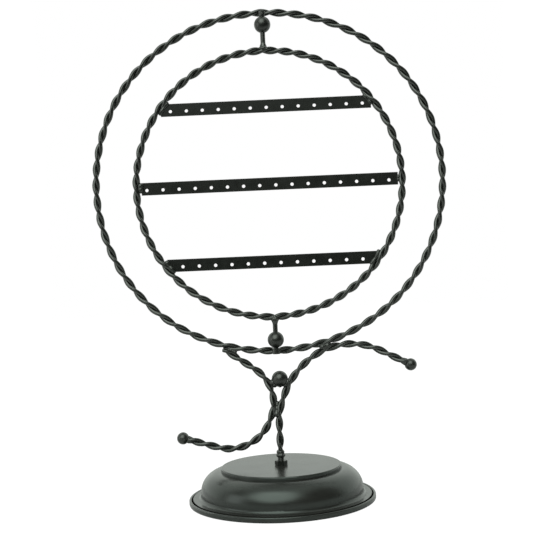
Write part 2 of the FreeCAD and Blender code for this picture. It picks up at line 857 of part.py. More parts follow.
def make_pivots():
    return {
        "top_pivot_sleeve": make_sleeve(1, top_sleeve_diameter, top_sleeve_reach,
                                        top_sleeve_length, True),
        "bottom_pivot_sleeve": make_sleeve(-1, bottom_sleeve_diameter, bottom_sleeve_reach,
                                           bottom_sleeve_length, False),
        "top_pivot_pin": make_pin(1, top_share, top_sleeve_reach, top_sleeve_length),
        "bottom_pivot_pin": make_pin(-1, bottom_share, bottom_sleeve_reach, bottom_sleeve_length),
        "top_pivot_ball": make_pivot_ball(top_ball_height),
        "bottom_pivot_ball": make_pivot_ball(bottom_ball_height),
    }


def make_balls():
    return {
        "left_finial_ball": make_finial_ball(branch_line(0.0), -branch_tail_angle),
        "right_finial_ball": make_finial_ball(stem_line(1.0), stem_end_angle + 180),
        "crotch_ball": make_crotch_ball(),
    }


def main():
    os.makedirs("parts", exist_ok=True)
    makers = (make_outer_hoop, make_stem, make_branch, make_balls, make_base, make_pivots,
              make_inner_hoop, make_bars)
    for make in makers:
        for node, solid in make().items():
            solid.exportStep(f"parts/{node}.step")


main()
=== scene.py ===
"""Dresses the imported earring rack: enamel, weld beads, stud thread, felt, studio light and camera."""
from math import cos, pi, radians, sin, sqrt, tau

import bmesh
import bpy
from mathutils import Matrix, Vector, noise
from mathutils.bvhtree import BVHTree
from mathutils.kdtree import KDTree


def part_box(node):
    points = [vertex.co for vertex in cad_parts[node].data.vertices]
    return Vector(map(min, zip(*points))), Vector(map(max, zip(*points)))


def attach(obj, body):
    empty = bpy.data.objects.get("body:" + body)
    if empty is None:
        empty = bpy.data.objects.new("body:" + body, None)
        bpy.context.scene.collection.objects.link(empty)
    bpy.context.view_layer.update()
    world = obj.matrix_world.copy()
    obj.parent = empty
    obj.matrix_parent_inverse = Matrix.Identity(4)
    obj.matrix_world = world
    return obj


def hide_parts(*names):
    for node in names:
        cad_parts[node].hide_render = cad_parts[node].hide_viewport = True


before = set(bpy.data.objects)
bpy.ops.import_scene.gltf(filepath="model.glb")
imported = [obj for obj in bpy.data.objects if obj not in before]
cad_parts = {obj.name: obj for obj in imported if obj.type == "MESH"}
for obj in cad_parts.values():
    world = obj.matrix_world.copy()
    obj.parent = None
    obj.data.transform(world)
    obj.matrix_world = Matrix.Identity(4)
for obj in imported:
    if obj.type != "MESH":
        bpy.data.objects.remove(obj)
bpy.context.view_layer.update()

bl_info = {
    "name": "Earring Rack Dresser",
    "version": (1, 0, 0),
    "blender": (4, 5, 0),
    "location": "3D View > Sidebar > Earring Rack",
    "description": "Paints the packed earring rack, adds its welds, thread and felt, and sets the stage",
    "category": "Object",
}

MM = 0.001
ROPE_RADIUS = 2.925 * MM  # of two twisted wires
GROOVE_MIDDLE = 67.93 * MM  # radius of the groove in the base's rim
GROOVE_HALF = 0.6 * MM  # half the width of the painted shade in that groove
SEAM_REACH = 0.16 * MM  # widest gap between two wires that enamel fills
WELD_REACH = 0.9 * MM  # widest gap between two twisted wires that a weld bridges
SLEEVE_REACH = 2.0 * MM  # widest gap between a sleeve and the hoop that a weld bridges
NOISE_LOW = 0.3  # most of a noise lies between these two values
NOISE_HIGH = 0.7
PHOTO_PIXELS = 533  # width of the photograph
SENSOR_WIDTH = 36.0  # of the camera, in millimetres
WHITE = "#ffffff"
SATIN_TINT = "#fafffa"  # of the highlights on satin enamel
BASE_TINT = "#eefff9"  # of the highlights on the base
LIGHT_CAST = "#f8fff8"  # of the room's light
X_AXIS = Vector((1, 0, 0))
Y_AXIS = Vector((0, 1, 0))
Z_AXIS = Vector((0, 0, 1))

OUTER_HOOP = ("outer_hoop_wire_a", "outer_hoop_wire_b")
INNER_HOOP = ("inner_hoop_wire_a", "inner_hoop_wire_b")
STEM = ("stem_wire_a", "stem_wire_b")
BRANCH = ("branch_wire_a", "branch_wire_b")
BARS = ("upper_bar", "middle_bar", "lower_bar")
BALLS = ("left_finial_ball", "right_finial_ball", "crotch_ball", "top_pivot_ball", "bottom_pivot_ball")
PIVOT_STEEL = ("top_pivot_pin", "bottom_pivot_pin", "top_pivot_sleeve", "bottom_pivot_sleeve")
PLATED_STEEL = ("lower_washer", "lower_nut")


# Small tools

def linear_colour(code):
    """The linear colour, with full alpha, of an sRGB hex code such as #1d1f1c."""
    channels = []
    for start in (1, 3, 5):
        value = int(code[start:start + 2], 16) / 255
        channels.append(value / 12.92 if value <= 0.04045 else ((value + 0.055) / 1.055) ** 2.4)
    return (*channels, 1.0)


def add_node(tree, kind, inputs=None, **settings):
    """Add a node, set its properties, and fill its inputs with values or with links from sockets."""
    made = tree.nodes.new(kind)
    for name, value in settings.items():
        setattr(made, name, value)
    for name, value in (inputs or {}).items():
        if isinstance(value, bpy.types.NodeSocket):
            tree.links.new(value, made.inputs[name])
        else:
            made.inputs[name].default_value = value
    return made


def per_metre(size):
    """The scale that gives a texture details of a size in millimetres."""
    return 1 / (size * MM)


def grain(tree, place, size, detail, roughness=0.5, distortion=0.0):
    """A noise with details of a size in millimetres."""
    texture = add_node(tree, "ShaderNodeTexNoise",
                       {"Vector": place, "Scale": per_metre(size), "Detail": detail,
                        "Roughness": roughness, "Distortion": distortion})
    return texture.outputs["Fac"]


def maths(tree, operation, *values):
    """The result of a sum on numbers or sockets."""
    made = add_node(tree, "ShaderNodeMath", dict(enumerate(values)), operation=operation)
    return made.outputs["Value"]


def spread(tree, value, start, end, low, high, smooth=False):
    """A value that runs from low to high while another runs from start to end."""
    made = add_node(tree, "ShaderNodeMapRange",
                    {"Value": value, "From Min": start, "From Max": end, "To Min": low, "To Max": high},
                    interpolation_type="SMOOTHSTEP" if smooth else "LINEAR")
    return made.outputs["Result"]


def shade(tree, value, first, last, start=0.0, end=1.0):
    """A colour that runs from one sRGB hex code to another while a value runs from start to end."""
    ramp = add_node(tree, "ShaderNodeValToRGB", {"Fac": value})
    for stop, position, code in zip(ramp.color_ramp.elements, (start, end), (first, last)):
        stop.position = position
        stop.color = linear_colour(code)
    return ramp.outputs["Color"]


def relief(tree, height, strength, depth):
    """The normal of a bump with a depth in millimetres."""
    bump = add_node(tree, "ShaderNodeBump",
                    {"Height": height, "Strength": strength, "Distance": depth * MM})
    return bump.outputs["Normal"]


def new_material(name):
    """An empty node material with its tree and its output node."""
    material = bpy.data.materials.new(name)
    material.use_nodes = True
    material.node_tree.nodes.clear()
    output = add_node(material.node_tree, "ShaderNodeOutputMaterial")
    return material, material.node_tree, output


def paint_nodes(names, material):
    """Give CAD nodes a finish in their own material slots."""
    for name in names:
        mesh_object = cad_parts[name]
        if not mesh_object.material_slots:
            mesh_object.data.materials.append(material)
        for slot in mesh_object.material_slots:
            slot.material = material


def mesh_piece(name, shape, material, body):
    """Turn a bmesh into a smooth piece that rides on a body and takes its finish from a slot."""
    mesh = bpy.data.meshes.new(name)
    bmesh.ops.recalc_face_normals(shape, faces=shape.faces)
    shape.to_mesh(mesh)
    shape.free()
    mesh.polygons.foreach_set("use_smooth", [True] * len(mesh.polygons))
    mesh.materials.append(material)
    piece = bpy.data.objects.new(name, mesh)
    bpy.context.scene.collection.objects.link(piece)
    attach(piece, body)
    return piece


def turned_grid(rings, segments, place):
    """A closed bmesh of rings about the Z axis, capped by a centre point at each end."""
    shape = bmesh.new()
    rows = [[shape.verts.new(place(ring, segment)) for segment in range(segments)]
            for ring in range(rings)]
    for lower, upper in zip(rows, rows[1:]):
        for one in range(segments):
            other = (one + 1) % segments
            shape.faces.new((lower[one], lower[other], upper[other], upper[one]))
    for row in (rows[0], rows[-1]):
        middle = sum((vertex.co for vertex in row), Vector()) / segments
        centre = shape.verts.new(middle)
        for one in range(segments):
            shape.faces.new((row[one], row[(one + 1) % segments], centre))
    return shape


def node_points(names):
    """The vertices of some CAD nodes at rest."""
    return [vertex.co.copy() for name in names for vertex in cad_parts[name].data.vertices]


def close_pairs(first, second, reach):
    """Pairs of vertices of two sets of CAD nodes that lie within a reach of each other."""
    points = node_points(second)
    tree = KDTree(len(points))
    for number, point in enumerate(points):
        tree.insert(point, number)
    tree.balance()
    pairs = []
    for point in node_points(first):
        other, _, distance = tree.find(point)
        if distance < reach:
            pairs.append((point, other))
    return pairs


# Finishes

def satin_enamel(name, dark, light, rough_low, rough_high, shine, peel_size, peel_depth):
    """Satin black baking enamel, sprayed on steel. It gives a near-black face with soft grey
    highlights, a faint cloudiness from the spray and a fine orange peel that breaks the highlights.
    The peel is drawn coarser than the real 0.3 mm, so that it shows in the render."""
    material, tree, output = new_material(name)
    place = add_node(tree, "ShaderNodeTexCoord").outputs["Object"]
    cloud = grain(tree, place, size=14, detail=3.0)
    patch = grain(tree, place, size=5, detail=2.0)
    peel = grain(tree, place, size=peel_size, detail=2.0, roughness=0.55)
    shader = add_node(tree, "ShaderNodeBsdfPrincipled",
                      {"Base Color": shade(tree, cloud, dark, light, NOISE_LOW, NOISE_HIGH),
                       "Roughness": spread(tree, patch, NOISE_LOW, NOISE_HIGH, rough_low, rough_high),
                       "Specular IOR Level": shine, "Specular Tint": linear_colour(SATIN_TINT),
                       "Normal": relief(tree, peel, strength=0.2, depth=peel_depth)})
    tree.links.new(shader.outputs["BSDF"], output.inputs["Surface"])
    return material


def spun_enamel(name, dark, light, rough_low, rough_high, groove_middle, groove_half):
    """Satin black enamel on a spun steel cover. The spinning roller leaves faint rings about the axis,
    which stretch the highlights round the base. The rings are drawn 1.1 mm apart, coarser than real.
    The rim's groove, from its middle to half its width each way, gets painted shade: a matte diffuse of
    the dark enamel colour, without gloss, that stands in for the groove's shadow and keeps it dark."""
    material, tree, output = new_material(name)
    place = add_node(tree, "ShaderNodeTexCoord").outputs["Object"]
    parts = add_node(tree, "ShaderNodeSeparateXYZ", {"Vector": place}).outputs
    flat = add_node(tree, "ShaderNodeCombineXYZ", {"X": parts["X"], "Y": parts["Y"]}).outputs["Vector"]
    reach = add_node(tree, "ShaderNodeVectorMath", {"Vector": flat}, operation="LENGTH").outputs["Value"]
    band = add_node(tree, "ShaderNodeCombineXYZ", {"X": reach, "Z": parts["Z"]}).outputs["Vector"]
    rings = grain(tree, band, size=1.1, detail=2.0)
    peel = grain(tree, place, size=0.9, detail=2.0, roughness=0.55)
    skin = maths(tree, "ADD", rings, peel)
    cloud = grain(tree, place, size=22, detail=3.0)
    shader = add_node(tree, "ShaderNodeBsdfPrincipled",
                      {"Base Color": shade(tree, cloud, dark, light, NOISE_LOW, NOISE_HIGH),
                       "Roughness": spread(tree, cloud, NOISE_LOW, NOISE_HIGH, rough_low, rough_high),
                       "Specular Tint": linear_colour(BASE_TINT),
                       "Normal": relief(tree, skin, strength=0.04, depth=0.01)})
    # Painted shade: in the groove a matte diffuse of the dark colour replaces the glossy enamel,
    # standing in for the shadow there
    painted_groove_shade = add_node(tree, "ShaderNodeBsdfDiffuse", {"Color": linear_colour(dark)})
    groove_shade_mask = maths(tree, "COMPARE", reach, groove_middle, groove_half)
    mixed = add_node(tree, "ShaderNodeMixShader",
                     {0: groove_shade_mask, 1: shader.outputs["BSDF"], 2: painted_groove_shade.outputs["BSDF"]})
    tree.links.new(mixed.outputs["Shader"], output.inputs["Surface"])
    return material


def sand_cast_iron():
    """Grey iron as cast in sand: a dull dark grey skin with sandy pits of about 1.5 mm."""
    material, tree, output = new_material("grey_iron_sand_cast")
    place = add_node(tree, "ShaderNodeTexCoord").outputs["Object"]
    pits = grain(tree, place, size=1.5, detail=4.0, roughness=0.6)
    shader = add_node(tree, "ShaderNodeBsdfPrincipled",
                      {"Base Color": shade(tree, pits, "#2b2927", "#56524d"),
                       "Metallic": 0.6, "Roughness": 0.72,
                       "Normal": relief(tree, pits, strength=0.6, depth=0.15)})
    tree.links.new(shader.outputs["BSDF"], output.inputs["Surface"])
    return material


def zinc_plated_steel():
    """Steel with bright zinc plating: a pale bluish metal with fine grey spangle of about 2 mm."""
    material, tree, output = new_material("steel_zinc_plated")
    place = add_node(tree, "ShaderNodeTexCoord").outputs["Object"]
    crystals = add_node(tree, "ShaderNodeTexVoronoi", {"Vector": place, "Scale": per_metre(2)})
    spangle = crystals.outputs["Distance"]
    shader = add_node(tree, "ShaderNodeBsdfPrincipled",
                      {"Base Color": shade(tree, spangle, "#b9bec4", "#8d949b"), "Metallic": 1.0,
                       "Roughness": spread(tree, spangle, start=0.0, end=1.0, low=0.28, high=0.42)})
    tree.links.new(shader.outputs["BSDF"], output.inputs["Surface"])
    return material


def pressed_wool_felt():
    """Black wool felt, pressed: matted fibres without a weave, which give a soft charcoal face.
    The fibres are drawn about 0.8 mm apart, coarser than the real ones."""
    material, tree, output = new_material("wool_felt_pressed")
    place = add_node(tree, "ShaderNodeTexCoord").outputs["Object"]
    fibres = grain(tree, place, size=0.8, detail=5.0, roughness=0.7, distortion=1.6)
    shader = add_node(tree, "ShaderNodeBsdfPrincipled",
                      {"Base Color": shade(tree, fibres, "#121212", "#2e2d2c"),
                       "Roughness": 0.95, "Sheen Weight": 0.25,
                       "Normal": relief(tree, fibres, strength=0.8, depth=0.3)})
    tree.links.new(shader.outputs["BSDF"], output.inputs["Surface"])
    return material


def weld_enamel():
    """Satin enamel over weld beads, made once and shared. Its coarse skin breaks the highlights."""
    name = "satin_enamel_on_weld_bead"
    if name not in bpy.data.materials:
        settings = rack_settings()
        satin_enamel(name, settings.wire_dark, settings.wire_light, rough_low=0.3, rough_high=0.4,
                     shine=0.8, peel_size=1.0, peel_depth=0.05)
    return bpy.data.materials[name]


# Weld beads

def weld_bead(name, drops, material, body):
    """Drops of weld metal run together: drops are (place, radius) pairs."""
    shape = bmesh.new()
    for place, radius in drops:
        bmesh.ops.create_icosphere(shape, subdivisions=2, radius=radius,
                                   matrix=Matrix.Translation(place))
    mesh = bpy.data.meshes.new(name)
    shape.to_mesh(mesh)
    shape.free()
    piece = bpy.data.objects.new(name, mesh)
    bpy.context.scene.collection.objects.link(piece)
    fused = piece.modifiers.new("run together", "REMESH")
    fused.mode = "VOXEL"
    fused.voxel_size = rack_settings().bead_grain
    tension = piece.modifiers.new("surface tension", "SMOOTH")
    tension.factor = 0.5
    tension.iterations = 6
    depsgraph = bpy.context.evaluated_depsgraph_get()
    run = bpy.data.meshes.new_from_object(piece.evaluated_get(depsgraph))
    piece.modifiers.clear()
    piece.data = run
    bpy.data.meshes.remove(mesh)
    run.name = name
    run.polygons.foreach_set("use_smooth", [True] * len(run.polygons))
    run.materials.clear()
    run.materials.append(material)
    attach(piece, body)
    return piece


def uneven(size, wobble, phase):
    """A size made a little larger or smaller."""
    return size * (1 + wobble * sin(phase))


def bar_end_drops(bar, side, low_share, high_share, count, radius):
    """Drops along the seam between a bar's end and the inner hoop, a little in front of the bar."""
    overlap = 0.5 * MM
    forward = 0.35 * MM
    hoop_low, hoop_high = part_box("inner_hoop_wire_a")
    other_low, other_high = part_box("inner_hoop_wire_b")
    middle_height = (min(hoop_low.z, other_low.z) + max(hoop_high.z, other_high.z)) / 2
    width = max(hoop_high.x, other_high.x) - min(hoop_low.x, other_low.x)
    seam_radius = width / 2 - 2 * ROPE_RADIUS + overlap
    bar_low, bar_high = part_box(bar)
    bar_end = bar_high.x if side > 0 else -bar_low.x
    depth = (bar_low.y + bar_high.y) / 2
    drops = []
    for number in range(count):
        share = low_share + (high_share - low_share) * number / (count - 1)
        height = bar_low.z + share * (bar_high.z - bar_low.z)
        seam = sqrt(seam_radius ** 2 - (height - middle_height) ** 2)
        out = (seam + min(seam, bar_end)) / 2
        size = uneven(radius, 0.1, 0.9 * number + side)
        drops.append((Vector((side * out, depth - forward, height)), size))
    return drops


def ring_drops(centre, axis, ring_radius, radius, count, wobble):
    """Drops in a ring about an axis, each a little larger or smaller than the last."""
    across = axis.orthogonal().normalized()
    drops = []
    for number in range(count):
        turn = Matrix.Rotation(tau * number / count, 3, axis)
        size = uneven(radius, wobble, 2.3 * number + 0.7)
        drops.append((centre + turn @ across * ring_radius, size))
    return drops


def touching_run(first, second, reach, axis):
    """Both ends of the seam where two groups of nodes lie within a reach, in order along an axis."""
    places = [(one + other) / 2 for one, other in close_pairs(first, second, reach)]
    return min(places, key=axis.dot), max(places, key=axis.dot)


def run_drops(start, end, count, first_radius, last_radius):
    """Drops in a row, each a little larger or smaller than an even change of size would make it."""
    drops = []
    for number in range(count):
        share = number / (count - 1)
        size = first_radius + (last_radius - first_radius) * share
        drops.append((start.lerp(end, share), uneven(size, 0.08, 2.4 * number + 0.9)))
    return drops


def pin_foot_drops(pin, up):
    """Drops where a pin stands on the small hoop: a ring at its foot, a smaller ring round the pin, and
    a drop on the front and the back of the hoop."""
    low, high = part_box(pin)
    foot = Vector(((low.x + high.x) / 2, (low.y + high.y) / 2, low.z if up > 0 else high.z))
    along = Z_AXIS * up
    round_pin = foot + along * 1.6 * MM
    in_hoop = foot - along * 1.2 * MM
    beside = Y_AXIS * 1.5 * MM
    drops = ring_drops(foot, Z_AXIS, ring_radius=2.2 * MM, radius=1.5 * MM, count=9, wobble=0.1)
    drops += ring_drops(round_pin, Z_AXIS, ring_radius=1.3 * MM, radius=1.3 * MM, count=7, wobble=0.1)
    drops += [(in_hoop - beside, 1.8 * MM), (in_hoop + beside, 1.8 * MM)]
    return drops


def crotch_drops():
    """Drops that fill the fork under the crotch ball, a little in front of its middle."""
    low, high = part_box("crotch_ball")
    centre = (low + high) / 2 - Y_AXIS * 0.6 * MM
    # Distances to the right and upwards from the ball's centre, and radii, in millimetres
    filling = ((-5.6, -2.4, 2.6), (-4.0, -4.3, 2.2), (0.0, -4.6, 2.0), (3.8, -4.3, 2.2),
               (5.8, -2.3, 2.8))
    return [(centre + Vector((x, 0, z)) * MM, radius * MM) for x, z, radius in filling]


def finial_neck_drops(ball, wires, radius):
    """Drops round the place where a twisted wire leaves its finial ball."""
    low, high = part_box(ball)
    centre = (low + high) / 2
    ball_radius = (high.y - low.y) / 2
    reach = 2.5 * ball_radius
    near = [point - centre for point in node_points(wires) if (point - centre).length < reach]
    away = sum(near, Vector()).normalized()
    drops = []
    # Steps away from the ball, in millimetres, and the share of the radius at each
    for step, share in ((0.0, 1.0), (1.4, 0.92), (2.8, 0.8)):
        neck = centre + away * (ball_radius + step * MM)
        half = radius * share * 0.5
        drops += ring_drops(neck, away, ring_radius=half, radius=half, count=8, wobble=0.1)
    return drops


def front_ridge_drops(sleeve):
    """Drops in a short upright ridge on the front of a sleeve, clear of its bore."""
    low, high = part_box(sleeve)
    front = Vector(((low.x + high.x) / 2, low.y - 0.4 * MM, (low.z + high.z) / 2))
    return run_drops(front - Z_AXIS * 0.6 * MM, front + Z_AXIS * 1.6 * MM, count=4,
                     first_radius=0.9 * MM, last_radius=0.95 * MM)


def seam_enamel(name, wires, reach, material, body):
    """Enamel that has run into the seam between two twisted wires, where they are within a reach."""
    first, second = (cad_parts[wire].data for wire in wires)
    other = BVHTree.FromPolygons([vertex.co for vertex in second.vertices],
                                 [tuple(face.vertices) for face in second.polygons])
    landing = [other.find_nearest(vertex.co, reach)[0] for vertex in first.vertices]
    shape = bmesh.new()
    near = {}
    for face in first.polygons:
        if any(landing[number] is None for number in face.vertices):
            continue
        for number in face.vertices:
            if number not in near:
                near[number] = shape.verts.new(first.vertices[number].co)
        shape.faces.new([near[number] for number in face.vertices])
    grown = bmesh.ops.extrude_face_region(shape, geom=shape.faces[:], use_keep_orig=True)
    for vertex in grown["geom"]:
        if isinstance(vertex, bmesh.types.BMVert):
            vertex.co = other.find_nearest(vertex.co)[0]
    return mesh_piece(name, shape, material, body)


# Sizes and colours that a user would change

class RackSettings(bpy.types.PropertyGroup):
    """Sizes and colours of the rack's finish and stage."""

    wire_dark: bpy.props.StringProperty(
        name="Wire Enamel Dark", description="Darker sRGB hex colour of the wire's enamel",
        default="#161815")
    wire_light: bpy.props.StringProperty(
        name="Wire Enamel Light", description="Lighter sRGB hex colour of the wire's enamel",
        default="#1e201d")
    bar_dark: bpy.props.StringProperty(
        name="Bar Enamel Dark", description="Darker sRGB hex colour of the bars' enamel",
        default="#0f100e")
    bar_light: bpy.props.StringProperty(
        name="Bar Enamel Light", description="Lighter sRGB hex colour of the bars' enamel",
        default="#141613")
    base_dark: bpy.props.StringProperty(
        name="Base Enamel Dark", description="Darker sRGB hex colour of the base's enamel",
        default="#1f1f1d")
    base_light: bpy.props.StringProperty(
        name="Base Enamel Light", description="Lighter sRGB hex colour of the base's enamel",
        default="#282826")
    bead_grain: bpy.props.FloatProperty(
        name="Bead Grain", description="Finest detail of the weld beads", default=0.22 * MM,
        min=0.05 * MM, unit="LENGTH", precision=5)
    thread_pitch: bpy.props.FloatProperty(
        name="Thread Pitch", description="Pitch of the stud's thread", default=0.8 * MM,
        min=0.1 * MM, unit="LENGTH", precision=5)
    thread_depth: bpy.props.FloatProperty(
        name="Thread Depth", description="Depth of the stud's thread", default=0.45 * MM,
        min=0.0, unit="LENGTH", precision=5)
    camera_place: bpy.props.FloatVectorProperty(
        name="Camera Place", description="Where the camera stands", default=(0.0042, -0.791, 0.187),
        subtype="TRANSLATION", unit="LENGTH")
    camera_yaw: bpy.props.FloatProperty(
        name="Camera Yaw", description="Camera's turn to the right", default=radians(-0.64),
        subtype="ANGLE")
    camera_pitch: bpy.props.FloatProperty(
        name="Camera Pitch", description="Camera's tilt down", default=radians(0.74), subtype="ANGLE")
    camera_roll: bpy.props.FloatProperty(
        name="Camera Roll", description="Camera's roll about its view", default=radians(-2.48),
        subtype="ANGLE")
    focal_pixels: bpy.props.FloatProperty(
        name="Focal Length in Pixels", description="Focal length in pixels of the 533-pixel frame",
        default=1049.0, min=1.0)
    floor_colour: bpy.props.StringProperty(
        name="Floor Colour", description="sRGB hex colour of the floor's paper", default="#c8c8c8")


def rack_settings():
    """The sizes and colours that the operators use."""
    return bpy.context.scene.earring_rack


# Operators

class RACK_OT_paint_wires(bpy.types.Operator):
    """Paint the twisted hoops, stem and branch, and the seams between their wires"""
    bl_idname = "rack.paint_wires"
    bl_label = "Paint Wires"

    def execute(self, context):
        settings = rack_settings()
        enamel = satin_enamel("satin_enamel_on_drawn_wire", settings.wire_dark, settings.wire_light,
                              rough_low=0.24, rough_high=0.32, shine=0.85,
                              peel_size=1.2, peel_depth=0.04)
        paint_nodes(OUTER_HOOP + INNER_HOOP + STEM + BRANCH, enamel)
        ropes = {"outer_hoop": OUTER_HOOP, "stem": STEM, "branch": BRANCH, "inner_hoop": INNER_HOOP}
        for rope, wires in ropes.items():
            body = "swivel_frame" if rope == "inner_hoop" else "stand"
            seam_enamel(f"{rope}_seam_enamel", wires, SEAM_REACH, enamel, body)
        return {"FINISHED"}


class RACK_OT_paint_bars(bpy.types.Operator):
    """Paint the three drilled bars"""
    bl_idname = "rack.paint_bars"
    bl_label = "Paint Bars"

    def execute(self, context):
        settings = rack_settings()
        enamel = satin_enamel("satin_enamel_on_sheared_strip", settings.bar_dark, settings.bar_light,
                              rough_low=0.32, rough_high=0.42, shine=0.36,
                              peel_size=1.2, peel_depth=0.015)
        paint_nodes(BARS, enamel)
        return {"FINISHED"}


class RACK_OT_paint_balls(bpy.types.Operator):
    """Paint the five balls"""
    bl_idname = "rack.paint_balls"
    bl_label = "Paint Balls"

    def execute(self, context):
        settings = rack_settings()
        enamel = satin_enamel("satin_enamel_on_turned_ball", settings.wire_dark, settings.wire_light,
                              rough_low=0.27, rough_high=0.35, shine=0.65,
                              peel_size=1.4, peel_depth=0.02)
        paint_nodes(BALLS, enamel)
        return {"FINISHED"}


class RACK_OT_paint_fittings(bpy.types.Operator):
    """Paint the pins, sleeves, stud and upper nut, and plate the hidden washer and nut"""
    bl_idname = "rack.paint_fittings"
    bl_label = "Paint Fittings"

    def execute(self, context):
        settings = rack_settings()
        enamel = satin_enamel("satin_enamel_on_turned_fitting", settings.wire_dark, settings.wire_light,
                              rough_low=0.24, rough_high=0.32, shine=0.9,
                              peel_size=1.0, peel_depth=0.02)
        paint_nodes(PIVOT_STEEL + ("stem_stud", "stem_ferrule"), enamel)
        nut_enamel = satin_enamel("satin_enamel_on_pressed_nut", settings.bar_dark, settings.bar_light,
                                  rough_low=0.3, rough_high=0.4, shine=0.3,
                                  peel_size=1.0, peel_depth=0.02)
        paint_nodes(("upper_nut",), nut_enamel)
        paint_nodes(PLATED_STEEL, zinc_plated_steel())
        return {"FINISHED"}


class RACK_OT_paint_base(bpy.types.Operator):
    """Paint the spun cover and skin the cast weight"""
    bl_idname = "rack.paint_base"
    bl_label = "Paint Base"

    def execute(self, context):
        settings = rack_settings()
        enamel = spun_enamel("satin_enamel_on_spun_steel", settings.base_dark, settings.base_light,
                             rough_low=0.24, rough_high=0.27,
                             groove_middle=GROOVE_MIDDLE, groove_half=GROOVE_HALF)
        paint_nodes(("base_shell",), enamel)
        paint_nodes(("base_ballast",), sand_cast_iron())
        return {"FINISHED"}


class RACK_OT_thread_stud(bpy.types.Operator):
    """Cut the thread on the stud under the stem"""
    bl_idname = "rack.thread_stud"
    bl_label = "Thread Stud"

    segments = 40
    rings_per_pitch = 8

    def execute(self, context):
        settings = rack_settings()
        low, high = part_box("stem_stud")
        crest = (high.x - low.x) / 2
        length = high.z - low.z
        rings = int(length / settings.thread_pitch * self.rings_per_pitch) + 1

        def place(ring, segment):
            height = low.z + length * ring / (rings - 1)
            turn = tau * segment / self.segments
            phase = ((height - low.z) / settings.thread_pitch - segment / self.segments) % 1.0
            ridge = abs(2 * phase - 1)
            chamfer = max(0.0, 1 - (height - low.z) / (settings.thread_depth * 2))
            radius = crest - settings.thread_depth * max(ridge, chamfer)
            return Vector((radius * cos(turn), radius * sin(turn), height))

        enamel = bpy.data.materials["satin_enamel_on_turned_fitting"]
        shape = turned_grid(rings, self.segments, place)
        stud = mesh_piece("threaded_stud", shape, enamel, "stand")
        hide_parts("stem_stud")
        return {"FINISHED"}


class RACK_OT_lay_felt(bpy.types.Operator):
    """Cut the felt disc under the base"""
    bl_idname = "rack.lay_felt"
    bl_label = "Lay Felt"

    segments = 180
    flat_shares = (0.05, 0.25, 0.45, 0.65, 0.8, 0.92)
    edge_share = 0.3
    fray_depth = 0.35 * MM
    fray_scale = 9.0

    def execute(self, context):
        low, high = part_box("base_felt_pad")
        radius = (high.x - low.x) / 2
        thickness = high.z - low.z
        edge = thickness * self.edge_share
        bevel = edge * self.edge_share
        outline = [(radius * share, low.z) for share in self.flat_shares]
        outline += [(radius - edge, low.z), (radius - bevel, low.z + bevel),
                    (radius, low.z + edge), (radius, high.z - edge),
                    (radius - bevel, high.z - bevel), (radius - edge, high.z)]
        outline += [(radius * share, high.z) for share in reversed(self.flat_shares)]

        def place(ring, segment):
            reach, height = outline[ring]
            turn = tau * segment / self.segments
            fray = noise.noise(Vector((cos(turn), sin(turn), height / thickness)) * self.fray_scale)
            reach -= abs(fray) * self.fray_depth * (reach / radius) ** 4
            return Vector((reach * cos(turn), reach * sin(turn), height))

        shape = turned_grid(len(outline), self.segments, place)
        felt = mesh_piece("felt_disc", shape, pressed_wool_felt(), "stand")
        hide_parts("base_felt_pad")
        return {"FINISHED"}


class RACK_OT_weld_swivel_frame(bpy.types.Operator):
    """Lay the weld beads of the small hoop: at the bars' ends and the pins' feet"""
    bl_idname = "rack.weld_swivel_frame"
    bl_label = "Weld Swivel Frame"

    drops_per_run = 11

    def execute(self, context):
        enamel = weld_enamel()
        # Shares of the bar's height between which a bead runs, and its radius in millimetres
        runs = {
            "upper_bar_left": (0.25, 1.0, 1.7), "upper_bar_right": (0.4, 1.0, 1.6),
            "middle_bar_left": (0.38, 0.75, 2.3), "middle_bar_right": (0.38, 0.66, 1.4),
            "lower_bar_left": (0.05, 0.72, 2.1), "lower_bar_right": (0.05, 0.95, 1.7),
        }
        for name, (low_share, high_share, radius) in runs.items():
            bar, _, word = name.rpartition("_")
            side = 1 if word == "right" else -1
            drops = bar_end_drops(bar, side, low_share, high_share, self.drops_per_run, radius * MM)
            weld_bead(f"{name}_weld", drops, enamel, "swivel_frame")
        for word, up in (("top", 1), ("bottom", -1)):
            drops = pin_foot_drops(f"{word}_pivot_pin", up)
            weld_bead(f"{word}_pin_weld", drops, enamel, "swivel_frame")
        return {"FINISHED"}


